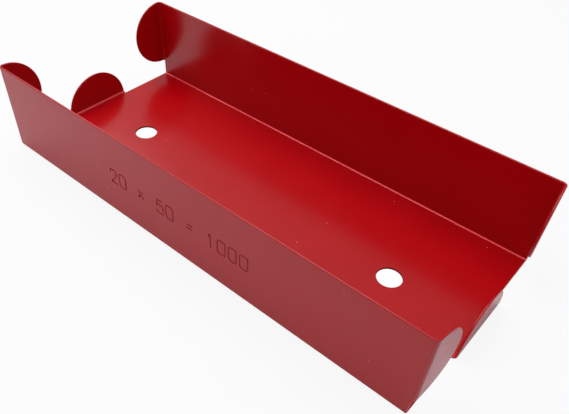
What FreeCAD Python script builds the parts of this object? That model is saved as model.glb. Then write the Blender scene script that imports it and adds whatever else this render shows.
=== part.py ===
import FreeCAD, Part
import os
from math import cos, radians, sin
import Sketcher

# Coin roll tray, folded from one sheet of aluminium. X runs along the tray, Y across it and Z up.
# The origin is on the surface that the tray rests on, under the middle of the floor.
#
# The sheet is built as a base flange, the floor, and the flanges that are folded up from it.
# Every flange carries its own fold and starts where that fold starts, so it meets its neighbour
# face to face. The folds of the walls are tight. The ears and the tabs turn round a larger
# radius, and the ears spring back a little short of square.

SIZES = [
    ("sheet_thickness", 0.8, "aluminium sheet"),
    ("inner_width", 82.5, "between the long walls: one roll of fifty pennies lies across"),
    ("floor_length", 191.4, "from end edge to end edge of the floor and the walls' lower corners"),
    ("wall_height", 36.5, "from the underside to the walls' top edge: two nested layers of rolls"),
    ("fold_radius", 0.6, "inside radius of the folds of the walls"),
    ("wall_angle", 90.0, "degrees that the walls are folded through"),
    ("ear_radius", 14.5, "round end of an ear, and half its width"),
    ("ear_straight", 1.3, "from a wall's outer face to where its ear's round end starts"),
    ("end_fold_radius", 1.0, "inside radius of the folds of the ears and the tabs"),
    ("ear_setback", 0.75, "from the floor's end edge back to where an ear's fold starts"),
    ("left_ear_angle", 88.0, "degrees that the two left ears are folded through"),
    ("right_ear_angle", 84.0, "degrees that the two right ears are folded through"),
    ("tab_radius", 15.2, "round end of a floor tab, and half its width"),
    ("tab_straight", 0.4, "from the underside to where a floor tab's round end starts"),
    ("tab_angle", 90.0, "degrees that the floor tabs are folded through"),
    ("hole_diameter", 9.4, "holes in the floor"),
    ("hole_spacing", 127.0, "between the centres of the two holes"),
]

ORIGIN = (-1, 1)                        # a sketch's own origin, as its constraints name it
X_AXIS = -1                             # its X axis, as a line
START, END, CENTRE = range(1, 4)        # the points of an edge that a constraint can name

doc = FreeCAD.newDocument("coin_tray")
sheet = doc.addObject("Spreadsheet::Sheet", "sizes")
sheet.Label = "sizes"
for row, (alias, millimetres, meaning) in enumerate(SIZES, start=1):
    sheet.set(f"A{row}", alias)
    sheet.set(f"B{row}", str(millimetres))
    sheet.setAlias(f"B{row}", alias)
    sheet.set(f"C{row}", meaning)
doc.recompute()

WALL_FOLD_START = "sizes.inner_width / 2 - sizes.fold_radius"
WALL_OUTER_FACE = "sizes.inner_width / 2 + sizes.sheet_thickness"
EAR_FOLD_START = "sizes.floor_length / 2 - sizes.ear_setback"
EAR_BOTTOM = "sizes.wall_height - 2 * sizes.ear_radius"


def new_body(label):
    """An empty body that carries the name of its sub-part."""
    body = doc.addObject("PartDesign::Body", label)
    body.Label = label
    return body


def origin_plane(body, role):
    """One of the body's own origin planes: XY_Plane, XZ_Plane or YZ_Plane."""
    return next(plane for plane in body.Origin.OriginFeatures if plane.Role == role)


def new_sketch(body, name, role, shift=(None, None, None), turn=0.0):
    """A sketch on an origin plane, shifted in its own axes by the given expressions."""
    sketch = body.newObject("Sketcher::SketchObject", name)
    sketch.AttachmentSupport = [(origin_plane(body, role), "")]
    sketch.MapMode = "FlatFace"
    sketch.AttachmentOffset = FreeCAD.Placement(
        FreeCAD.Vector(), FreeCAD.Rotation(FreeCAD.Vector(0, 0, 1), turn)
    )
    for axis, expression in zip("xyz", shift):
        if expression:
            sketch.setExpression(f"AttachmentOffset.Base.{axis}", expression)
    return sketch


def size(expression):
    """The number that an expression on the sizes gives now."""
    result = sheet.evalExpression(expression)
    return getattr(result, "Value", result)


def constrain(sketch, kind, *parts):
    """Adds a constraint that has no size of its own."""
    sketch.addConstraint(Sketcher.Constraint(kind, *parts))


def dimension(sketch, name, expression, kind, *parts):
    """Adds a named dimension that follows the sizes in the sheet."""
    is_angle = kind == "Angle"
    start_value = radians(size(expression)) if is_angle else size(expression)
    index = sketch.addConstraint(Sketcher.Constraint(kind, *parts, start_value))
    sketch.renameConstraint(index, name)
    sketch.setExpression(f"Constraints.{name}", f"({expression}) * {'1 deg' if is_angle else '1 mm'}")


def line(sketch, start, end):
    """A straight edge. It is drawn where the constraints then hold it."""
    return sketch.addGeometry(Part.LineSegment(start, end))


def arc(sketch, centre, radius, start_degrees, end_degrees):
    """An arc turned anticlockwise, drawn in place as the straight edges are."""
    circle = Part.Circle(centre, FreeCAD.Vector(0, 0, 1), radius)
    return sketch.addGeometry(Part.ArcOfCircle(circle, radians(start_degrees), radians(end_degrees)))


def join_in_turn(sketch, edges):
    """Joins the end of each edge to the start of the next one."""
    for edge, following in zip(edges, edges[1:]):
        constrain(sketch, "Coincident", edge, END, following, START)


def rectangle(sketch, low, high):
    """Four edges, anticlockwise from the bottom one, that stay square to the sketch's axes."""
    corners = [low, FreeCAD.Vector(high.x, low.y, 0), high, FreeCAD.Vector(low.x, high.y, 0)]
    edges = [line(sketch, *pair) for pair in zip(corners, corners[1:] + corners[:1])]
    join_in_turn(sketch, edges + edges[:1])
    bottom, right, top, left = edges
    for level in (bottom, top):
        constrain(sketch, "Horizontal", level)
    for upright in (right, left):
        constrain(sketch, "Vertical", upright)
    return edges


def fold_section(sketch, radius, angle, leg_height):
    """The cross-section of a flange: its fold, and the straight leg that stands on it.

    The sketch's origin is on the outer face of the parent sheet, where the fold starts. The leg's
    height is measured square to that face, up to the outer corner of its edge.
    """
    inner_radius = size(radius)
    outer_radius = inner_radius + size("sizes.sheet_thickness")
    turn = radians(size(angle))
    up_the_leg = FreeCAD.Vector(cos(turn), sin(turn), 0)
    to_the_centre = FreeCAD.Vector(-sin(turn), cos(turn), 0)
    centre = FreeCAD.Vector(0, outer_radius, 0)
    outer_foot = centre - to_the_centre * outer_radius
    inner_foot = centre - to_the_centre * inner_radius
    leg = up_the_leg * ((size(leg_height) - outer_foot.y) / sin(turn))

    outer_fold = arc(sketch, centre, outer_radius, -90, size(angle) - 90)
    outer_leg = line(sketch, outer_foot, outer_foot + leg)
    edge = line(sketch, outer_foot + leg, inner_foot + leg)
    inner_leg = line(sketch, inner_foot + leg, inner_foot)
    inner_fold = arc(sketch, centre, inner_radius, -90, size(angle) - 90)
    root = line(sketch, FreeCAD.Vector(0, outer_radius - inner_radius, 0), FreeCAD.Vector())
    constrain(sketch, "Coincident", root, END, *ORIGIN)
    constrain(sketch, "Coincident", outer_fold, START, *ORIGIN)
    constrain(sketch, "Coincident", inner_fold, START, root, START)
    constrain(sketch, "Coincident", outer_fold, CENTRE, inner_fold, CENTRE)
    constrain(sketch, "Tangent", outer_fold, END, outer_leg, START)
    constrain(sketch, "Tangent", inner_fold, END, inner_leg, END)
    join_in_turn(sketch, [outer_leg, edge, inner_leg])
    constrain(sketch, "Perpendicular", edge, outer_leg)
    constrain(sketch, "Perpendicular", edge, inner_leg)
    constrain(sketch, "Vertical", root)
    constrain(sketch, "Vertical", *ORIGIN, outer_fold, CENTRE)
    dimension(sketch, "thickness", "sizes.sheet_thickness", "DistanceY", *ORIGIN, root, START)
    dimension(sketch, "inside_radius", radius, "Radius", inner_fold)
    dimension(sketch, "angle", angle, "Angle", outer_leg)
    dimension(sketch, "leg_height", leg_height, "DistanceY", *ORIGIN, outer_leg, END)


def strip_height(radius, straight):
    """The leg height of a strip that is still square-ended, one sheet thickness past its crown."""
    return f"{straight} + {radius} + sizes.sheet_thickness"


def round_end_waste(sketch, radius, straight):
    """What is cut from a square-ended strip to give it a round end, as one closed outline.

    The strip runs along the sketch's X axis and is two radii wide. A leg that leans out has its
    inner corner up to a sheet thickness above its outer one, so the waste reaches past that too.
    """
    past_the_side = "sizes.sheet_thickness"
    past_the_crown = "3 * sizes.sheet_thickness"
    middle = FreeCAD.Vector(size(straight), 0, 0)
    side = FreeCAD.Vector(0, size(radius), 0)
    over = FreeCAD.Vector(0, size(past_the_side), 0)
    along = FreeCAD.Vector(size(f"{radius} + {past_the_crown}"), 0, 0)

    round_end = arc(sketch, middle, size(radius), -90, 90)
    near_top = line(sketch, middle + side, middle + side + over)
    top = line(sketch, middle + side + over, middle + side + over + along)
    far = line(sketch, middle + side + over + along, middle - side - over + along)
    bottom = line(sketch, middle - side - over + along, middle - side - over)
    near_bottom = line(sketch, middle - side - over, middle - side)
    join_in_turn(sketch, [round_end, near_top, top, far, bottom, near_bottom])
    constrain(sketch, "Coincident", near_bottom, END, round_end, START)
    for upright in (near_top, far, near_bottom):
        constrain(sketch, "Vertical", upright)
    for level in (top, bottom):
        constrain(sketch, "Horizontal", level)
    constrain(sketch, "PointOnObject", round_end, CENTRE, X_AXIS)
    constrain(sketch, "Vertical", round_end, CENTRE, round_end, START)
    constrain(sketch, "Vertical", round_end, CENTRE, round_end, END)
    constrain(sketch, "Equal", near_top, near_bottom)
    dimension(sketch, "radius", radius, "Radius", round_end)
    dimension(sketch, "straight", straight, "DistanceX", *ORIGIN, round_end, CENTRE)
    dimension(sketch, "side_waste", past_the_side, "DistanceY", near_top, START, near_top, END)
    dimension(sketch, "end_waste", f"{radius} + {past_the_crown}", "DistanceX", top, START, top, END)


def pad(body, sketch, length, symmetric=False):
    """Thickens a closed sketch into a solid."""
    feature = body.newObject("PartDesign::Pad", f"{sketch.Name}_pad")
    feature.Profile = sketch
    feature.SideType = "Symmetric" if symmetric else "One side"
    feature.setExpression("Length", length)
    sketch.Visibility = False
    return feature


def cut_through(body, sketch):
    """Cuts a closed sketch right through the body, both ways from the sketch's plane."""
    feature = body.newObject("PartDesign::Pocket", f"{sketch.Name}_cut")
    feature.Profile = sketch
    feature.Type = "ThroughAll"
    feature.SideType = "Symmetric"
    sketch.Visibility = False
    return feature


def mirror_feature(body, feature, role):
    """Repeats a feature on the other side of one of the body's origin planes."""
    mirrored = body.newObject("PartDesign::Mirrored", f"{feature.Name}_pair")
    mirrored.Originals = [feature]
    mirrored.MirrorPlane = (origin_plane(body, role), [""])
    body.Tip = mirrored
    return mirrored


def mirror_flange(source, label):
    """The matching flange at the other long side of the tray, as a sub-part of its own."""
    twin = doc.addObject("Part::Mirroring", label)
    twin.Label = label
    twin.Source = source
    twin.Normal = FreeCAD.Vector(0, 1, 0)
    return twin


def half_turn_about_z(body):
    """Turns a body half way round the tray's middle, to the opposite corner or end."""
    body.Placement = FreeCAD.Placement(FreeCAD.Vector(), FreeCAD.Rotation(FreeCAD.Vector(0, 0, 1), 180))


def floor_panel():
    """The base flange: flat between the folds of the walls, with a hole near each end."""
    body = new_body("floor_panel")
    outline = new_sketch(body, "floor_outline", "XY_Plane")
    corner = FreeCAD.Vector(size("sizes.floor_length / 2"), size(WALL_FOLD_START), 0)
    front, right, rear, _ = rectangle(outline, -corner, corner)
    constrain(outline, "Symmetric", front, START, rear, START, *ORIGIN)
    dimension(outline, "length", "sizes.floor_length", "DistanceX", front, START, front, END)
    dimension(outline, "width", f"2 * ({WALL_FOLD_START})", "DistanceY", right, START, right, END)
    pad(body, outline, "sizes.sheet_thickness")

    hole = new_sketch(body, "floor_hole", "XY_Plane")
    centre = FreeCAD.Vector(size("sizes.hole_spacing / 2"), 0, 0)
    rim = Part.Circle(centre, FreeCAD.Vector(0, 0, 1), size("sizes.hole_diameter / 2"))
    circle = hole.addGeometry(rim)
    constrain(hole, "PointOnObject", circle, CENTRE, X_AXIS)
    dimension(hole, "diameter", "sizes.hole_diameter", "Diameter", circle)
    dimension(hole, "from_middle", "sizes.hole_spacing / 2", "DistanceX", *ORIGIN, circle, CENTRE)
    mirror_feature(body, cut_through(body, hole), "YZ_Plane")
    return body


def rear_wall():
    """A long wall: as long as the floor, and cut back at the top of each end for the ears."""
    body = new_body("rear_wall")
    section = new_sketch(body, "wall_section", "YZ_Plane", shift=(WALL_FOLD_START, None, None))
    fold_section(section, "sizes.fold_radius", "sizes.wall_angle", "sizes.wall_height")
    pad(body, section, "sizes.floor_length", symmetric=True)

    notch = new_sketch(body, "ear_notch", "XZ_Plane", shift=(EAR_FOLD_START, EAR_BOTTOM, None))
    depth = "sizes.ear_setback + sizes.sheet_thickness"
    rise = "2 * sizes.ear_radius + sizes.sheet_thickness"
    bottom, right, _, _ = rectangle(notch, FreeCAD.Vector(), FreeCAD.Vector(size(depth), size(rise), 0))
    constrain(notch, "Coincident", bottom, START, *ORIGIN)
    dimension(notch, "depth", depth, "DistanceX", bottom, START, bottom, END)
    dimension(notch, "rise", rise, "DistanceY", right, START, right, END)
    mirror_feature(body, cut_through(body, notch), "YZ_Plane")
    return body


def ear(label, angle):
    """A half-round ear at the front right corner."""
    body = new_body(label)
    section = new_sketch(
        body, f"{label}_section", "XY_Plane", shift=(EAR_FOLD_START, f"-({WALL_OUTER_FACE})", EAR_BOTTOM)
    )
    leg_height = strip_height("sizes.ear_radius", "sizes.ear_straight")
    fold_section(section, "sizes.end_fold_radius", angle, leg_height)
    pad(body, section, "2 * sizes.ear_radius")
    waste = new_sketch(
        body,
        f"{label}_waste",
        "YZ_Plane",
        shift=(f"-({WALL_OUTER_FACE})", "sizes.wall_height - sizes.ear_radius", None),
    )
    round_end_waste(waste, "sizes.ear_radius", "sizes.ear_straight")
    cut_through(body, waste)
    return body


def floor_tab(label):
    """A half-round tab that stands up from the middle of the floor's right end."""
    body = new_body(label)
    section = new_sketch(body, f"{label}_section", "XZ_Plane", shift=("sizes.floor_length / 2", None, None))
    leg_height = strip_height("sizes.tab_radius", "sizes.tab_straight")
    fold_section(section, "sizes.end_fold_radius", "sizes.tab_angle", leg_height)
    pad(body, section, "2 * sizes.tab_radius", symmetric=True)
    waste = new_sketch(body, f"{label}_waste", "YZ_Plane", turn=90.0)
    round_end_waste(waste, "sizes.tab_radius", "sizes.tab_straight")
    cut_through(body, waste)
    return body


rear_wall_body = rear_wall()
front_right_ear = ear("front_right_ear", "sizes.right_ear_angle")
rear_left_ear = ear("rear_left_ear", "sizes.left_ear_angle")
half_turn_about_z(rear_left_ear)
left_tab = floor_tab("left_floor_tab")
half_turn_about_z(left_tab)
sub_parts = [
    floor_panel(),
    rear_wall_body,
    mirror_flange(rear_wall_body, "front_wall"),
    front_right_ear,
    mirror_flange(front_right_ear, "rear_right_ear"),
    rear_left_ear,
    mirror_flange(rear_left_ear, "front_left_ear"),
    left_tab,
    floor_tab("right_floor_tab"),
]
doc.recompute()

for item in doc.Objects:
    if "Invalid" in item.State or "Error" in item.State:
        raise RuntimeError(f"{item.Label} did not compute: {item.State}")
    if item.TypeId == "Sketcher::SketchObject" and not item.FullyConstrained:
        raise RuntimeError(f"{item.Label} is not fully constrained")
for sub_part in sub_parts:
    shape = sub_part.Shape
    if shape.isNull() or not shape.isValid() or len(shape.Solids) != 1:
        raise RuntimeError(f"{sub_part.Label} is not one valid solid")

os.makedirs("parts", exist_ok=True)
for sub_part in sub_parts:
    sub_part.Shape.exportStep(f"parts/{sub_part.Label}.step")
    box = sub_part.Shape.BoundBox
    print(
        f"{sub_part.Label}: {sub_part.Shape.Volume:.1f} mm3, X {box.XMin:.2f} to {box.XMax:.2f}, "
        f"Y {box.YMin:.2f} to {box.YMax:.2f}, Z {box.ZMin:.2f} to {box.ZMax:.2f}"
    )
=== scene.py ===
# %% [markdown]
# # A folded counting tray in red satin powder coat
#
# The real tray is one sheet of aluminium, 0.8 mm thick. A press blanks its outline and two holes, folds up
# two long walls, four half-round ears and two half-round tabs, and stamps a line of numbers. Then the tray
# is coated. A coin counter lays rolls of coins across it, and the ears and tabs stop them from rolling out
# of the ends.
#
# This lesson dresses a finished CAD model. The CAD model is loaded first and is never moved. Each visible
# piece is then modelled again at the same place, with the rounded edges, stamping and finish that the plain
# solids lack.

# %% Load the fixed frame
import math

import bmesh
import bpy
from mathutils import Matrix, Vector


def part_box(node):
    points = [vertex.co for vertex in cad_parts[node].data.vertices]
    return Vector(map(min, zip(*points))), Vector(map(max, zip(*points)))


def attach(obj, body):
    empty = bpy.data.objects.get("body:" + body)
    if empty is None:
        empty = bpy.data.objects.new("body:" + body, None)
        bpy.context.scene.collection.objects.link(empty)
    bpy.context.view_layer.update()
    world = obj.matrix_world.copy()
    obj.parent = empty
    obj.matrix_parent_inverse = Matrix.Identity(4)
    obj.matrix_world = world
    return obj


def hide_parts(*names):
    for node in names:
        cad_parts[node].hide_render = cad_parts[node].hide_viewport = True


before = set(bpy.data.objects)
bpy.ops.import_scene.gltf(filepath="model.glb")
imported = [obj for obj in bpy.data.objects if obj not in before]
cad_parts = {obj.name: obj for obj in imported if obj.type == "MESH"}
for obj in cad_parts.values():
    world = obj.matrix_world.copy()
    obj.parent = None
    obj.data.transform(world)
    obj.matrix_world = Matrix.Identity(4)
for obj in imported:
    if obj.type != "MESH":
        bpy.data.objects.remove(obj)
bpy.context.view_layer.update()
print("CAD nodes:", sorted(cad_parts))

# %% [markdown]
# ## Sizes of the sheet
#
# A sheet-metal shop thinks in thickness and fold radius. The long sizes are read from the CAD boxes, so that
# the visible pieces can't drift from the solids. Blender works in metres, so one value turns millimetres
# into metres.

# %% Sizes in millimetres
MM = 0.001

def box_mm(node):
    """Lowest and highest corner of a CAD node, in millimetres."""
    low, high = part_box(node)
    return [c / MM for c in low], [c / MM for c in high]

floor_low, floor_high = box_mm("floor_panel")
wall_low, wall_high = box_mm("front_wall")
ear_low, ear_high = box_mm("front_right_ear")
tab_low, tab_high = box_mm("right_floor_tab")

HALF_LENGTH, FLOOR_EDGE, SHEET = floor_high
WALL_FACE = -wall_low[1]
WALL_TOP = wall_high[2]
WALL_FOLD_OUTSIDE = WALL_FACE - FLOOR_EDGE
END_FOLD_OUTSIDE = tab_high[0] - tab_low[0]
EAR_SEAM = ear_low[0]
EAR_BOTTOM = ear_low[2]
EAR_RADIUS = (WALL_TOP - EAR_BOTTOM) / 2
EAR_ROUND_INSET = ear_high[1] - ear_low[1] - EAR_RADIUS
TAB_RADIUS = (tab_high[1] - tab_low[1]) / 2
TAB_ROUND_CENTRE = tab_high[2] - TAB_RADIUS
print("sheet", round(SHEET, 3), "ear seam at", round(EAR_SEAM, 3))
print("outer radius of wall and end folds", round(WALL_FOLD_OUTSIDE, 3), round(END_FOLD_OUTSIDE, 3))
print("radius of ears and tabs", round(EAR_RADIUS, 3), round(TAB_RADIUS, 3))

# %% [markdown]
# ## Camera
#
# The tray is seen from the front right, from about 156 mm above the table, which is less than its length, as
# something on a counter is. The camera's axes are written as three unit vectors, which is exact and needs no
# angles. The middle of the frame is a little off the lens's axis, so the lens has a small shift.

# %% Camera
IMAGE_WIDTH, IMAGE_HEIGHT = 569, 414
FOCAL_PIXELS = 598.78
AXIS_PIXEL = (256.32, 251.40)
SENSOR_WIDTH = 36
CLIP_START, CLIP_END = 0.01, 50
CAMERA_PLACE = Vector((117.15, -138.58, 155.72))

lens_right = Vector((0.75092, 0.65973, 0.02949))
lens_down = Vector((0.48849, -0.52485, -0.69707))
lens_forward = Vector((-0.44440, 0.53785, -0.71639))

camera_data = bpy.data.cameras.new("tray_camera")
camera_data.sensor_width = SENSOR_WIDTH
camera_data.lens = FOCAL_PIXELS * SENSOR_WIDTH / IMAGE_WIDTH
camera_data.shift_x = (IMAGE_WIDTH / 2 - AXIS_PIXEL[0]) / IMAGE_WIDTH
camera_data.shift_y = (AXIS_PIXEL[1] - IMAGE_HEIGHT / 2) / IMAGE_WIDTH
camera_data.clip_start, camera_data.clip_end = CLIP_START, CLIP_END
camera = bpy.data.objects.new("tray_camera", camera_data)
bpy.context.scene.collection.objects.link(camera)
turn = Matrix((lens_right, -lens_down, -lens_forward)).transposed()
camera.matrix_world = Matrix.Translation(CAMERA_PLACE * MM) @ turn.to_4x4()
bpy.context.scene.camera = camera
print("lens in mm:", round(camera_data.lens, 2))
print("shift:", round(camera_data.shift_x, 4), round(camera_data.shift_y, 4))

# %% [markdown]
# ## Helpers for choosing what an operator acts on
#
# By hand you would click pieces, faces and edges. In a script they are chosen by where they are. Everything
# starts deselected, because a freshly loaded scene may have other objects selected, and an operator acts on
# all of them.

# %% Choosing pieces
def nothing_selected():
    """Leaves edit mode and deselects every object."""
    if bpy.context.mode != "OBJECT":
        bpy.ops.object.mode_set(mode="OBJECT")
    bpy.ops.object.select_all(action="DESELECT")

def only(piece):
    """Makes one piece the selected and active one."""
    nothing_selected()
    piece.select_set(True)
    bpy.context.view_layer.objects.active = piece

def edit(piece):
    """Opens one piece in edit mode."""
    only(piece)
    bpy.ops.object.mode_set(mode="EDIT")

print("selected after loading:", len(bpy.context.selected_objects))
nothing_selected()
print("selected now:", len(bpy.context.selected_objects))

# %% Choosing faces and edges
SLACK = 0.01
FACING = 0.9

def near(value, target, slack=SLACK):
    """Whether a place is at the target, in millimetres."""
    return abs(value - target) < slack

def pick(piece, kind, test):
    """Selects the faces or edges that pass the test, and returns how many there are."""
    bpy.ops.mesh.select_mode(type=kind)
    bpy.ops.mesh.select_all(action="DESELECT")
    shape = bmesh.from_edit_mesh(piece.data)
    chosen = [part for part in (shape.faces if kind == "FACE" else shape.edges) if test(part)]
    for part in chosen:
        part.select = True
    bmesh.update_edit_mesh(piece.data)
    return len(chosen)

def pick_faces(piece, test):
    """The test is given a face's centre in millimetres and its normal."""
    return pick(piece, "FACE", lambda f: test(f.calc_center_median() / MM, f.normal))

def pick_edges(piece, test):
    """The test is given an edge's two ends in millimetres and the angle between its faces."""
    return pick(piece, "EDGE", lambda e: test(*(v.co / MM for v in e.verts), e.calc_face_angle(0)))

print("places agree within", SLACK, "mm")

# %% [markdown]
# ## A flat plate to start from
#
# Every flange starts as a flat blank of the sheet's own thickness. Its fold is then turned out of its edge
# face with Spin, as the brake's punch does. This keeps the thickness exact all round the fold, and the two
# faces that meet at a seam are flat and in the same plane, which a surface thickened afterwards would only
# come near to. A finished piece keeps its place in its mesh, so that its object stays at the origin.

# %% Plate
def settle(piece):
    """Puts a piece's place, turn and size into its mesh."""
    only(piece)
    bpy.ops.object.transform_apply(location=True, rotation=True, scale=True)

def plate(name, low, high):
    """A plate between two corners in millimetres."""
    nothing_selected()
    middle = [(a + b) / 2 * MM for a, b in zip(low, high)]
    bpy.ops.mesh.primitive_cube_add(size=1, location=middle)
    piece = bpy.context.object
    piece.name = piece.data.name = name
    piece.scale = [(b - a) * MM for a, b in zip(low, high)]
    settle(piece)
    return piece

floor = plate("painted_floor", floor_low, floor_high)
print("floor plate in mm:", [round(side / MM, 2) for side in floor.dimensions])

# %% Fold
FOLD_STEP = math.radians(3)
FEWEST_STEPS = 3
MERGE_DISTANCE = 0.002

def fold(angle, centre, axis):
    """Turns the selected edge face of a plate round an axis, which makes the fold. The angle is right-handed,
    and Spin counts it the other way."""
    bpy.ops.mesh.spin(
        steps=max(FEWEST_STEPS, round(abs(angle) / FOLD_STEP)),
        angle=-angle,
        center=[c * MM for c in centre],
        axis=axis,
    )

def clean(piece):
    """Merges doubles and points every face outwards."""
    edit(piece)
    bpy.ops.mesh.select_all(action="SELECT")
    bpy.ops.mesh.remove_doubles(threshold=MERGE_DISTANCE * MM)
    bpy.ops.mesh.normals_make_consistent(inside=False)
    bpy.ops.object.mode_set(mode="OBJECT")

print("steps in a square fold:", round(math.radians(90) / FOLD_STEP))

# %% [markdown]
# ## The floor
#
# The floor is the part of the sheet that is never bent. Two 9.4 mm holes on its centre line let it be hung or
# screwed down. A round punch made them, so they are cut with round cutters and a Boolean, and the sheet is
# divided where the tabs begin, because the cut edge there is not an open edge.

# %% Floor panel with two punched holes
HOLE_RADIUS, HOLE_VERTICES = 4.7, 72
HOLE_CENTRES = (-63.5, 63.5)
PUNCH_LENGTH = 6

def take_out(piece, tool, name, crosses_itself=False):
    """Cuts a tool's shape out of a piece, and throws the tool away."""
    only(piece)
    cut = piece.modifiers.new(name, "BOOLEAN")
    cut.object = tool
    cut.operation = "DIFFERENCE"
    cut.solver = "EXACT"
    cut.use_self = crosses_itself
    bpy.ops.object.modifier_apply(modifier=cut.name)
    bpy.data.objects.remove(tool, do_unlink=True)

edit(floor)
for side in (-1, 1):
    bpy.ops.mesh.select_all(action="SELECT")
    bpy.ops.mesh.bisect(plane_co=(0, side * TAB_RADIUS * MM, 0), plane_no=(0, 1, 0))
for hole_x in HOLE_CENTRES:
    nothing_selected()
    bpy.ops.mesh.primitive_cylinder_add(
        vertices=HOLE_VERTICES,
        radius=HOLE_RADIUS * MM,
        depth=PUNCH_LENGTH * MM,
        location=(hole_x * MM, 0, SHEET / 2 * MM),
    )
    take_out(floor, bpy.context.object, "punch")
print("floor faces:", len(floor.data.polygons))

# %% [markdown]
# ## The long walls
#
# Each long wall is folded up square from the floor. Its ends are notched: below the notch the wall runs the
# whole length, and above it the sheet carries on into an ear. So the plate is as long as the upper part, its
# lower ends are drawn out with Extrude, and then its bottom face is folded under with Spin.

# %% Front wall
front = plate(
    "painted_front_wall",
    (-EAR_SEAM, -WALL_FACE, WALL_FOLD_OUTSIDE),
    (EAR_SEAM, -WALL_FACE + SHEET, WALL_TOP),
)
edit(front)
bpy.ops.mesh.select_all(action="SELECT")
bpy.ops.mesh.bisect(plane_co=(0, 0, EAR_BOTTOM * MM), plane_no=(0, 0, 1))
for side in (-1, 1):
    pick_faces(front, lambda c, n: n.x * side > FACING and c.z < EAR_BOTTOM)
    bpy.ops.mesh.extrude_region_move(
        TRANSFORM_OT_translate={"value": (side * (HALF_LENGTH - EAR_SEAM) * MM, 0, 0)}
    )
found = pick_faces(front, lambda c, n: n.z < -FACING and near(c.z, WALL_FOLD_OUTSIDE))
fold(math.radians(90), (0, -FLOOR_EDGE, WALL_FOLD_OUTSIDE), (1, 0, 0))
clean(front)
print("bottom faces folded:", found, "vertices:", len(front.data.vertices))

# %% [markdown]
# ## Mirror images
#
# The rear of the tray is the mirror image of its front. A Mirror modifier would keep both in one mesh, so
# each piece is copied and then turned over by a size of -1 along one axis. That also turns its faces inwards,
# so they are pointed outwards again.

# %% Mirror image, and the rear wall
X_AXIS, Y_AXIS = 0, 1

def mirror(piece, axis):
    """Mirrors a piece across the middle of the tray, along one axis."""
    edit(piece)
    bpy.ops.mesh.select_all(action="SELECT")
    flip = [-1 if i == axis else 1 for i in range(3)]
    bpy.ops.transform.resize(value=flip, center_override=(0, 0, 0))
    bpy.ops.mesh.normals_make_consistent(inside=False)
    bpy.ops.object.mode_set(mode="OBJECT")

def mirrored(piece, name, axis):
    """A mirrored copy with its own mesh."""
    only(piece)
    bpy.ops.object.duplicate()
    twin = bpy.context.object
    twin.name = twin.data.name = name
    mirror(twin, axis)
    return twin

rear = mirrored(front, "painted_rear_wall", Y_AXIS)
print(rear.name, "lowest y in mm:", round(min(v.co.y for v in rear.data.vertices) / MM, 2))

# %% [markdown]
# ## Half-round ears and tabs
#
# The ears and tabs are the same thing in two positions: a half-round end, then a fold back to the sheet it
# comes from. One function makes both, with the fold standing upright, and then turns the result into place.
# It starts from a disc, leans it by what the fold springs back, cuts it at the line where the fold starts,
# and folds the cut face back to the seam. The disc is made a hair taller, so that its cut face is exactly as
# tall as the strip it is folded from.

# %% Disc of sheet
ROUND_VERTICES = 120

def disc(name, radius):
    """A disc of the sheet's own thickness, which stands on its rim and faces along the X axis."""
    nothing_selected()
    bpy.ops.mesh.primitive_cylinder_add(
        vertices=ROUND_VERTICES, radius=radius * MM, depth=SHEET * MM, rotation=(0, math.pi / 2, 0)
    )
    piece = bpy.context.object
    piece.name = piece.data.name = name
    settle(piece)
    return piece

print("disc rim step in mm:", round(2 * math.pi * EAR_RADIUS / ROUND_VERTICES, 2))

# %% One function for every half-round flange
def half_round(name, seam, radius, depth, degrees, turned, moved):
    """seam: where the fold ends, radius: of the round end, depth: how far the round end's centre is from the
    parent sheet's outer face, degrees: how far the sheet is folded. turned and moved put it in its place."""
    angle = math.radians(degrees)
    start = Vector((seam + END_FOLD_OUTSIDE * math.sin(angle), END_FOLD_OUTSIDE * (1 - math.cos(angle)), 0))
    along = Vector((math.cos(angle), math.sin(angle), 0))
    outwards = Vector((math.sin(angle), -math.cos(angle), 0))
    centre = start + along * ((depth - start.y) / math.sin(angle)) - outwards * SHEET / 2
    half_chord = math.sqrt(radius**2 - (start.y - depth) ** 2)

    piece = disc(name, radius)
    piece.scale = (1, 1 / math.sin(angle), radius / half_chord)
    piece.rotation_euler = (0, 0, angle - math.pi / 2)
    piece.location = centre * MM
    settle(piece)

    edit(piece)
    bpy.ops.mesh.select_all(action="SELECT")
    bpy.ops.mesh.bisect(plane_co=start * MM, plane_no=along, use_fill=True, clear_inner=True)
    found = pick_faces(piece, lambda c, n: n.dot(along) < -FACING and near((c - start).dot(along), 0))
    fold(-angle, (seam, END_FOLD_OUTSIDE, 0), (0, 0, 1))
    clean(piece)

    piece.rotation_euler = turned
    piece.location = [m * MM for m in moved]
    settle(piece)
    on_seam = sum(near(v.co.x / MM, seam) for v in piece.data.vertices)
    print(name, "cut faces folded:", found, "vertices on the seam:", on_seam)
    return piece

# %% [markdown]
# ## The four ears
#
# The two right ears were folded 84 degrees and lean out a little; the two left ones, 88 degrees. No two folds
# of a hand-fed brake spring back the same. The front pair is modelled, and the rear pair is its mirror image.
# Both front ears are modelled at the right end, and then the left one is turned over to its own end.

# %% Ears
EAR_ANGLES = {"right": 84, "left": 88}
ears = {}
for hand, degrees in EAR_ANGLES.items():
    ear = half_round(
        f"painted_front_{hand}_ear",
        EAR_SEAM, EAR_RADIUS, EAR_ROUND_INSET, degrees,
        turned=(0, 0, 0), moved=(0, -WALL_FACE, EAR_BOTTOM + EAR_RADIUS),
    )
    if hand == "left":
        mirror(ear, X_AXIS)
    ears[f"front_{hand}_ear"] = ear
    ears[f"rear_{hand}_ear"] = mirrored(ear, f"painted_rear_{hand}_ear", Y_AXIS)
print("ears:", sorted(ears))

# %% [markdown]
# ## The two floor tabs
#
# A tab stands up from the middle of each end of the floor and keeps the middle rolls in. It is folded square
# with the same tool as the ears, so it is the same function with the fold laid flat. The left one is a mirror
# image.

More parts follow.
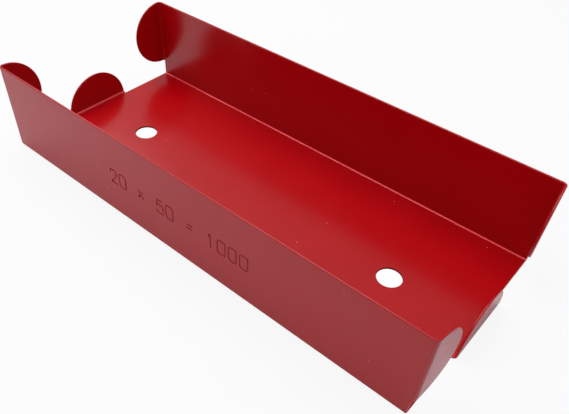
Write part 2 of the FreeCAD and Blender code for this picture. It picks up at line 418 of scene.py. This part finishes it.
# %% Floor tabs
right_tab = half_round(
    "painted_right_tab",
    HALF_LENGTH, TAB_RADIUS, TAB_ROUND_CENTRE, 90,
    turned=(math.pi / 2, 0, 0), moved=(0, 0, 0),
)
left_tab = mirrored(right_tab, "painted_left_tab", X_AXIS)
tabs = {"right_floor_tab": right_tab, "left_floor_tab": left_tab}
print("tabs:", sorted(tabs))

# %% [markdown]
# ## Which edges stay sharp
#
# Only the open edges of a piece are rounded. An edge on a seam joins the next flange, so it is left sharp,
# and the two pieces keep the same section there. The short top of each notch is left sharp too, as the
# nibbling tool leaves it. Each kind of piece has its own seams, and a small function knows them by their
# places.

# %% Seams and hole edges
AROUND_HOLE = 6

def both(a, b, test):
    """Whether both ends of an edge pass a test."""
    return test(a) and test(b)

def wall_seams(a, b):
    under = both(a, b, lambda p: near(abs(p.y), FLOOR_EDGE))
    end = near(a.x, b.x) and both(a, b, lambda p: near(abs(p.x), EAR_SEAM) and p.z > EAR_BOTTOM - SLACK)
    notch = both(a, b, lambda p: abs(p.x) > EAR_SEAM - SLACK and near(p.z, EAR_BOTTOM))
    return under or end or notch

def ear_seam(a, b):
    return both(a, b, lambda p: near(abs(p.x), EAR_SEAM))

def tab_seam(a, b):
    return both(a, b, lambda p: near(abs(p.x), HALF_LENGTH))

def floor_seams(a, b):
    long_side = both(a, b, lambda p: near(abs(p.y), FLOOR_EDGE))
    under_tab = tab_seam(a, b) and both(a, b, lambda p: abs(p.y) < TAB_RADIUS + SLACK)
    return long_side or under_tab

def by_hole(a, b):
    return both(a, b, lambda p: near(abs(p.x), HOLE_CENTRES[1], AROUND_HOLE) and abs(p.y) < AROUND_HOLE)

hole_edges = sum(by_hole(*(floor.data.vertices[v].co / MM for v in e.vertices)) for e in floor.data.edges)
print("edges at the two holes:", hole_edges)

# %% [markdown]
# ## Rounding the cut edges
#
# A sheared edge is never a perfect corner: tumbling and the coat round it, here until almost nothing flat is
# left across the thickness. That round edge is what catches the lamp as the bright line along every rim of
# the tray. A punched hole is only drawn in a little at its upper edge, and its inside stays crisp and dark.
# A Bevel modifier set by angle would take every sharp edge, seams too, so the edges are picked and bevelled
# in edit mode.

# %% Rounded edges
RIM_ROUNDING, RIM_SEGMENTS = 0.37, 6
HOLE_ROUNDING, HOLE_SEGMENTS = 0.08, 3
SHARP = math.radians(40)

def round_edges(piece, left_sharp, rounding=RIM_ROUNDING, segments=RIM_SEGMENTS):
    """Bevels each sharp edge of a piece, apart from those that are left sharp."""
    edit(piece)
    count = pick_edges(piece, lambda a, b, turn: turn > SHARP and not left_sharp(a, b))
    bpy.ops.mesh.bevel(
        offset=rounding * MM, segments=segments, profile=0.5, affect="EDGES", clamp_overlap=True
    )
    bpy.ops.object.mode_set(mode="OBJECT")
    print(piece.name, "edges rounded:", count)

round_edges(floor, lambda a, b: floor_seams(a, b) or by_hole(a, b))
round_edges(floor, lambda a, b: not by_hole(a, b) or near(a.z, 0), HOLE_ROUNDING, HOLE_SEGMENTS)
for wall in (front, rear):
    round_edges(wall, wall_seams)
for ear in ears.values():
    round_edges(ear, ear_seam)
for tab in tabs.values():
    round_edges(tab, tab_seam)

# %% [markdown]
# ## Stamped numbers
#
# A line is stamped into the front wall: how many rolls, of how many coins, and what they come to. A stamp
# with a rounded nose leaves a round groove with a steady width. So each stroke is drawn as one curve with a
# round section, turned into a mesh, and taken out of the wall's outer face with a Boolean. A text object
# would be quicker, but its characters are filled outlines, not strokes.

# %% The strokes of each character
LINE = "20 × 50 = 1000"
LINE_LEFT, LINE_PITCH = -32.4, 4.86
LINE_FOOT, CHARACTER_WIDTH, CHARACTER_HEIGHT = 15.4, 3.4, 5.9

STROKES = {
    "0": [("round", [(0.5, 1), (1, 1), (1, 0.5), (1, 0), (0.5, 0), (0, 0), (0, 0.5), (0, 1)])],
    "1": [("line", [(0.5, 0), (0.5, 1)]), ("line", [(0.5, 1), (0.22, 0.8)])],
    "2": [
        ("open", [(0.04, 0.74), (0.06, 1), (0.5, 1), (0.97, 1), (0.97, 0.72), (0.94, 0.48), (0, 0)]),
        ("line", [(0, 0), (1, 0)]),
    ],
    "5": [
        ("line", [(0.9, 1), (0.16, 1)]),
        ("line", [(0.16, 1), (0.08, 0.55)]),
        ("open", [
            (0.08, 0.55), (0.22, 0.64), (0.5, 0.64), (1, 0.64), (1, 0.32),
            (1, 0), (0.5, 0), (0.08, 0), (0, 0.2),
        ]),
    ],
    "×": [("line", [(0.15, 0.2), (0.85, 0.72)]), ("line", [(0.15, 0.72), (0.85, 0.2)])],
    "=": [("line", [(0.1, 0.34), (0.9, 0.34)]), ("line", [(0.1, 0.6), (0.9, 0.6)])],
}
print("characters drawn:", sorted(STROKES))

# %% One stroke of the stamp
STROKE_RADIUS, STROKE_SUNK = 0.34, 0.04
SECTION_STEPS, LENGTH_STEPS = 4, 6

def stroke(kind, points, left):
    """One stroke of a character as a round bar, whose middle line lies just under the wall's outer face."""
    curve = bpy.data.curves.new("stroke", "CURVE")
    curve.dimensions = "3D"
    curve.bevel_depth, curve.bevel_resolution = STROKE_RADIUS * MM, SECTION_STEPS
    curve.resolution_u, curve.use_fill_caps = LENGTH_STEPS, True
    spline = curve.splines.new("POLY" if kind == "line" else "NURBS")
    spline.points.add(len(points) - 1)
    for point, (across, up) in zip(spline.points, points):
        x = left + across * CHARACTER_WIDTH
        z = LINE_FOOT + up * CHARACTER_HEIGHT
        point.co = (x * MM, -(WALL_FACE - STROKE_SUNK) * MM, z * MM, 1)
    if kind != "line":
        spline.order_u = 3
        spline.use_cyclic_u = kind == "round"
        spline.use_endpoint_u = kind == "open"
    tool = bpy.data.objects.new("stroke", curve)
    bpy.context.scene.collection.objects.link(tool)
    only(tool)
    bpy.ops.object.convert(target="MESH")
    return bpy.context.object

print("groove depth in mm:", round(STROKE_RADIUS + STROKE_SUNK, 2))

# %% Stamping them into the front wall
strokes = []
for column, character in enumerate(LINE):
    for kind, points in STROKES.get(character, []):
        strokes.append(stroke(kind, points, LINE_LEFT + column * LINE_PITCH))
nothing_selected()
for tool in strokes:
    tool.select_set(True)
bpy.context.view_layer.objects.active = strokes[0]
bpy.ops.object.join()
stamp = bpy.context.object
clean(stamp)
take_out(front, stamp, "stamp", crosses_itself=True)
print("strokes stamped:", len(strokes), "front wall faces:", len(front.data.polygons))

# %% [markdown]
# ## Smooth shading that keeps flat sheet flat
#
# Folds and rounded edges should look round, but the big flats between them must stay dead flat. Shading
# smooth by angle rounds the first, and a Weighted Normal modifier lets the largest face at each corner decide
# the normal, which keeps the second.

# %% Shading
pieces = {"floor_panel": floor, "front_wall": front, "rear_wall": rear, **ears, **tabs}
for piece in pieces.values():
    only(piece)
    bpy.ops.object.shade_smooth_by_angle(angle=SHARP)
    weigh = piece.modifiers.new("weigh", "WEIGHTED_NORMAL")
    weigh.mode, weigh.weight, weigh.keep_sharp = "FACE_AREA", 50, True
    bpy.ops.object.modifier_apply(modifier=weigh.name)
print("pieces shaded:", len(pieces))

# %% Measuring the finished shells
def measured(piece):
    """How many edges don't join exactly two faces, of which a closed shell has none, and the volume."""
    shape = bmesh.new()
    shape.from_mesh(piece.data)
    open_edges = sum(not e.is_manifold for e in shape.edges)
    volume = shape.calc_volume(signed=True) / MM**3
    shape.free()
    return open_edges, round(volume, 1)

for node, piece in pieces.items():
    print(node, "open edges, cubic mm:", measured(piece), "faces:", len(piece.data.polygons))

# %% [markdown]
# ## The coat: red satin powder coat on aluminium
#
# Powder coat is a pigmented polyester about 0.07 mm thick. It is sprayed on dry and melted in an oven, so it
# flows into a skin with a faint orange peel, a few millimetres from crest to crest. Its surface is a plain
# dielectric with an IOR of about 1.5, and satin means a roughness of about 0.2: it shows no sharp reflection,
# but at a low angle it turns pale with whatever light is behind. The colour is a strong, slightly blue red.

# %% Colours and nodes
def linear(code):
    """A linear colour with alpha 1 from an sRGB hex value."""
    parts = [int(code[i : i + 2], 16) / 255 for i in (1, 3, 5)]
    return [p / 12.92 if p <= 0.04045 else ((p + 0.055) / 1.055) ** 2.4 for p in parts] + [1]

def add_node(tree, kind, settings=None, inputs=None):
    """Adds a node, sets its own settings, and fills its inputs with values or with links from other nodes."""
    node = tree.nodes.new(kind)
    for name, value in (settings or {}).items():
        setattr(node, name, value)
    for name, value in (inputs or {}).items():
        if isinstance(value, bpy.types.NodeSocket):
            tree.links.new(value, node.inputs[name])
        else:
            node.inputs[name].default_value = value
    return node

def new_material(name):
    """An empty material and its node tree."""
    material = bpy.data.materials.new(name)
    material.use_nodes = True
    material.node_tree.nodes.clear()
    return material, material.node_tree

print("middle grey in linear light:", [round(part, 3) for part in linear("#808080")])

# %% [markdown]
# ## Mottle, orange peel and nibs
#
# Three patterns carry the coat, and each has its real size. A slow mottle, some 22 mm across, is where the
# powder lay a little thicker or thinner. The peel is 1.8 mm from crest to crest and about 0.01 mm high, so it
# is only a bump. A few pale nibs, about 0.6 mm across at most, are grains of other powder that melted in.
# They are the points of a Voronoi pattern, which has one in each cell, and most of those points miss the
# sheet.

# %% Patterns of the coat
MOTTLE_MM, PEEL_MM = 22, 1.8
NIB_SPACING_MM = 9
NIB_RIM, NIB_CORE = 0.035, 0.018  # shares of the spacing
COAT_RED, FULL_COAT_RED, NIB_PINK = "#AF010A", "#B8020C", "#D9757A"

coat, tree = new_material("red_satin_powder_coat")
position = add_node(tree, "ShaderNodeTexCoord").outputs["Object"]
mottle = add_node(
    tree, "ShaderNodeTexNoise", inputs={"Vector": position, "Scale": 1 / (MOTTLE_MM * MM), "Detail": 3.0}
).outputs["Fac"]
peel = add_node(
    tree, "ShaderNodeTexNoise", inputs={"Vector": position, "Scale": 1 / (PEEL_MM * MM), "Detail": 1.0}
).outputs["Fac"]
nib_distance = add_node(
    tree, "ShaderNodeTexVoronoi", inputs={"Vector": position, "Scale": 1 / (NIB_SPACING_MM * MM)}
).outputs["Distance"]
nib = add_node(
    tree, "ShaderNodeMapRange",
    inputs={"Value": nib_distance, "From Min": NIB_RIM, "From Max": NIB_CORE, "To Min": 0.0, "To Max": 1.0},
).outputs["Result"]
colour = add_node(
    tree, "ShaderNodeMix", {"data_type": "RGBA"},
    {"Factor": mottle, 6: linear(COAT_RED), 7: linear(FULL_COAT_RED)},
).outputs[2]
colour = add_node(
    tree, "ShaderNodeMix", {"data_type": "RGBA"}, {"Factor": nib, 6: colour, 7: linear(NIB_PINK)}
).outputs[2]
print("nib radius in mm:", round(NIB_CORE * NIB_SPACING_MM, 2), "to", round(NIB_RIM * NIB_SPACING_MM, 2))

# %% [markdown]
# ## Painted highlight in the folds
#
# The inside folds along the floor show a bright line where they catch the lamp. Here that line is painted
# into the coat's colour as a lighter pink line, a painted highlight. It could be painted as an image, but the
# shader finds the place by itself: it measures how far each point is from the line that runs inside the fold.

# %% Painted highlight in the folds
# Width, place and colour of the lighter pink line painted along the inside folds: a painted highlight.
HIGHLIGHT_RIM, HIGHLIGHT_CORE = 0.38, 0.2
WALL_LINE_DEGREES, TAB_LINE_DEGREES = 45, 55
FOLD_HIGHLIGHT_PINK = "#FF4A52"

def painted_fold_line(across, fold_start, outside, degrees):
    """1 along a painted highlight line inside a fold, at some degrees round it from the floor, and on both
    sides of the tray. across is the axis that the fold lies across."""
    inside = outside - SHEET
    middle = [0, 0, (outside - inside * math.cos(math.radians(degrees))) * MM]
    middle[across] = (fold_start + inside * math.sin(math.radians(degrees))) * MM
    kept = [0, 0, 1]
    kept[across] = 1
    both_sides = add_node(tree, "ShaderNodeVectorMath", {"operation": "ABSOLUTE"}, {0: position}).outputs[0]
    flat = add_node(
        tree, "ShaderNodeVectorMath", {"operation": "MULTIPLY"}, {0: both_sides, 1: kept}
    ).outputs["Vector"]
    away = add_node(
        tree, "ShaderNodeVectorMath", {"operation": "DISTANCE"}, {0: flat, 1: middle}
    ).outputs["Value"]
    return add_node(
        tree, "ShaderNodeMapRange",
        inputs={"Value": away, "From Min": HIGHLIGHT_RIM * MM, "From Max": HIGHLIGHT_CORE * MM},
    ).outputs["Result"]

# A painted highlight: a lighter pink line mixed into the coat's colour along the inside folds.
wall_fold_highlight = painted_fold_line(Y_AXIS, FLOOR_EDGE, WALL_FOLD_OUTSIDE, WALL_LINE_DEGREES)
tab_fold_highlight = painted_fold_line(X_AXIS, HALF_LENGTH, END_FOLD_OUTSIDE, TAB_LINE_DEGREES)
painted_fold_highlight = add_node(tree, "ShaderNodeMath", {"operation": "MAXIMUM"}, {0: wall_fold_highlight, 1: tab_fold_highlight}).outputs[0]
colour = add_node(
    tree, "ShaderNodeMix", {"data_type": "RGBA"}, {"Factor": painted_fold_highlight, 6: colour, 7: linear(FOLD_HIGHLIGHT_PINK)}
).outputs[2]
print("thin line's full width in mm:", 2 * HIGHLIGHT_RIM)

# %% [markdown]
# ## The coat's shader
#
# The mottle moves the roughness a little too, so a broad reflection is never quite even. What is the same all
# over, such as the IOR, is set on the shader itself.

# %% Red satin powder coat
SMOOTHEST, ROUGHEST = 0.19, 0.25
PEEL_STRENGTH, PEEL_HEIGHT = 0.25, 0.01
POLYESTER_IOR = 1.5

roughness = add_node(
    tree, "ShaderNodeMapRange", inputs={"Value": mottle, "To Min": SMOOTHEST, "To Max": ROUGHEST}
).outputs["Result"]
bump = add_node(
    tree, "ShaderNodeBump", inputs={"Strength": PEEL_STRENGTH, "Distance": PEEL_HEIGHT * MM, "Height": peel}
).outputs["Normal"]
shader = add_node(
    tree, "ShaderNodeBsdfPrincipled",
    inputs={"Base Color": colour, "Roughness": roughness, "Normal": bump, "IOR": POLYESTER_IOR},
)
add_node(tree, "ShaderNodeOutputMaterial", inputs={"Surface": shader.outputs["BSDF"]})
print("nodes in the coat:", len(tree.nodes))

# %% Dress each piece and put it on its body
for node, piece in pieces.items():
    piece.data.materials.clear()
    piece.data.materials.append(coat)
    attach(piece, "root")
    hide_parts(node)
print("pieces dressed:", len(pieces))

# %% [markdown]
# ## Table and a sheet of painted shade
#
# The table is plain and pale, and it keeps the tray's soft shadow. It is a very little cool, as white paper
# is, and the camera sees it as nearly white. Glossy rays see a little of that white too, so that the satin
# coat has something to pick up. A dark sheet below the floor panel is painted shade for the shade under the
# tray: the camera sees it white through the two holes, but no light comes up through them, so the holes stay
# dark inside and don't show as spots in the far wall.

# %% What each kind of ray sees
SHINY_RAYS = ("Is Glossy Ray", "Is Transmission Ray")

def seen_by(tree, camera_share, glossy_share):
    """camera_share for camera rays, glossy_share for glossy and transmission rays, and 0 for the rays of
    scattered light."""
    path = add_node(tree, "ShaderNodeLightPath").outputs
    shiny = add_node(
        tree, "ShaderNodeMath", {"operation": "MAXIMUM"}, {i: path[kind] for i, kind in enumerate(SHINY_RAYS)}
    ).outputs[0]
    scaled = add_node(
        tree, "ShaderNodeMath", {"operation": "MULTIPLY"}, {0: shiny, 1: glossy_share}
    ).outputs[0]
    return add_node(
        tree, "ShaderNodeMath", {"operation": "MULTIPLY_ADD"},
        {0: path["Is Camera Ray"], 1: camera_share, 2: scaled},
    ).outputs[0]

print("rays with a share of their own: Is Camera Ray,", ", ".join(SHINY_RAYS))

# %% Pale table and a sheet of painted shade
STAGE_SHEETS = {
    # name: size in metres, height in millimetres, share for camera rays, share for glossy rays, colour
    "pale_table": ((6, 6), -0.03, 0.88, 0.1, "#E3E4EA"),
    # A dark sheet of painted shade under the floor panel: dark to scattered light, white to the camera.
    "painted_shade_sheet": ((0.18, 0.074), -0.01, 1.0, 0.0, "#202020"),
}

def laid_flat(name, size, height, camera_share, glossy_share, colour):
    """A flat sheet on the stage: it glows white as far as its shares say, and is a matt colour otherwise."""
    nothing_selected()
    bpy.ops.mesh.primitive_plane_add(size=1, location=(0, 0, height * MM))
    sheet = bpy.context.object
    sheet.name = name
    sheet.scale = (*size, 1)
    settle(sheet)
    cover, tree = new_material(name)
    share = seen_by(tree, camera_share, glossy_share)
    matt = add_node(tree, "ShaderNodeBsdfDiffuse", inputs={"Color": linear(colour)}).outputs[0]
    white = {"Color": linear("#FFFFFF"), "Strength": 1.0}
    glow = add_node(tree, "ShaderNodeEmission", inputs=white).outputs[0]
    mixed = add_node(tree, "ShaderNodeMixShader", inputs={0: share, 1: matt, 2: glow}).outputs[0]
    add_node(tree, "ShaderNodeOutputMaterial", inputs={"Surface": mixed})
    sheet.data.materials.append(cover)

for name, facts in STAGE_SHEETS.items():
    laid_flat(name, *facts)
print("stage sheets:", list(STAGE_SHEETS))

# %% [markdown]
# ## Room and lamps
#
# The camera sees a white room. For all other rays the room is kept low, so the red renders as it is written.
# A large soft box hangs overhead, as over a packing table, and a smaller one is lower on the left, which
# makes the left end a little brighter than the right.

# %% Room
ROOM_CAMERA_SHARE, ROOM_GLOSSY_SHARE = 1.0, 0.03
ROOM_LEVEL = 0.41

world = bpy.data.worlds.new("pale_room")
bpy.context.scene.world = world
world.use_nodes = True
tree = world.node_tree
tree.nodes.clear()
seen = seen_by(tree, ROOM_CAMERA_SHARE, ROOM_GLOSSY_SHARE)
strength = add_node(
    tree, "ShaderNodeMapRange", inputs={"Value": seen, "To Min": ROOM_LEVEL, "To Max": 1.0}
).outputs["Result"]
room_light = {"Color": linear("#FFFFFF"), "Strength": strength}
room = add_node(tree, "ShaderNodeBackground", inputs=room_light).outputs[0]
add_node(tree, "ShaderNodeOutputWorld", inputs={"Surface": room})
print("room level:", ROOM_LEVEL)

# %% Two soft boxes, each with its place and size in metres and its power in watts
SOFT_BOXES = {
    "overhead": ((0, 0, 0.9), 1.0, 2.9),
    "low_left": ((-0.25, 0, 0.45), 0.5, 1.5),
}
for name, (spot, size, watts) in SOFT_BOXES.items():
    lamp = bpy.data.lights.new(name, "AREA")
    lamp.shape, lamp.size, lamp.energy = "SQUARE", size, watts
    soft_box = bpy.data.objects.new(name, lamp)
    soft_box.location = spot
    soft_box.rotation_mode = "QUATERNION"
    soft_box.rotation_quaternion = Vector(spot).to_track_quat("Z", "Y")
    bpy.context.scene.collection.objects.link(soft_box)
print("soft boxes:", list(SOFT_BOXES))

# %% [markdown]
# ## Finish
#
# Standard view keeps each colour as it is written.

# %% Finish
bpy.context.scene.view_settings.view_transform = "Standard"
nothing_selected()
bpy.context.view_layer.update()
